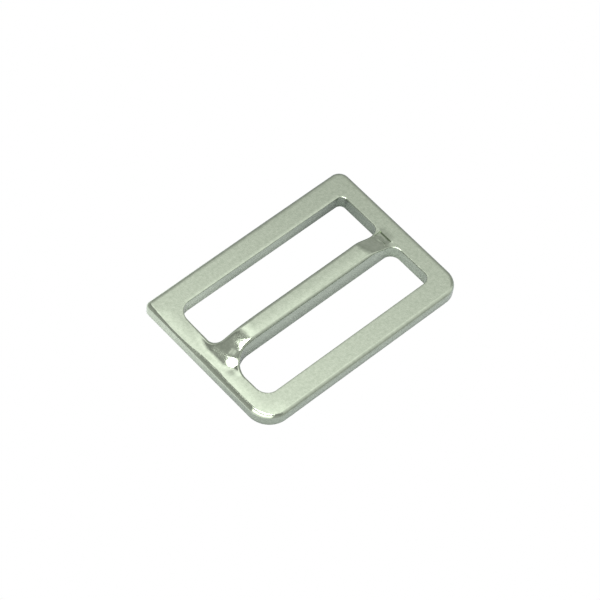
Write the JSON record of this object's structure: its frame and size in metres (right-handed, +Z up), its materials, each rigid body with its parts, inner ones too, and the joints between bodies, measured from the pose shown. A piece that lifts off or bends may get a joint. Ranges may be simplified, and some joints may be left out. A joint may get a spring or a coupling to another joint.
{
  "type": "webbing adjuster buckle",
  "caption": "Flat oblong metal slide with two long webbing slots and a raised centre bar that ramps down to the end rails; webbing threads round the bar to adjust and lock.",
  "frame": {"origin": "middle of the flat underside", "axes": "+X along the slots, +Y across them towards the far rail, +Z up out of the face that the bar is raised on"},
  "size_m": [0.055, 0.0382, 0.0053],
  "materials": {
    "plated_metal": "satin nickel or zinc plate, tumbled, with a fine mottled grain and a faint green-grey cast"
  },
  "bodies": {
    "root": {"adjuster_frame": "plated_metal"}
  },
  "joints": []
}
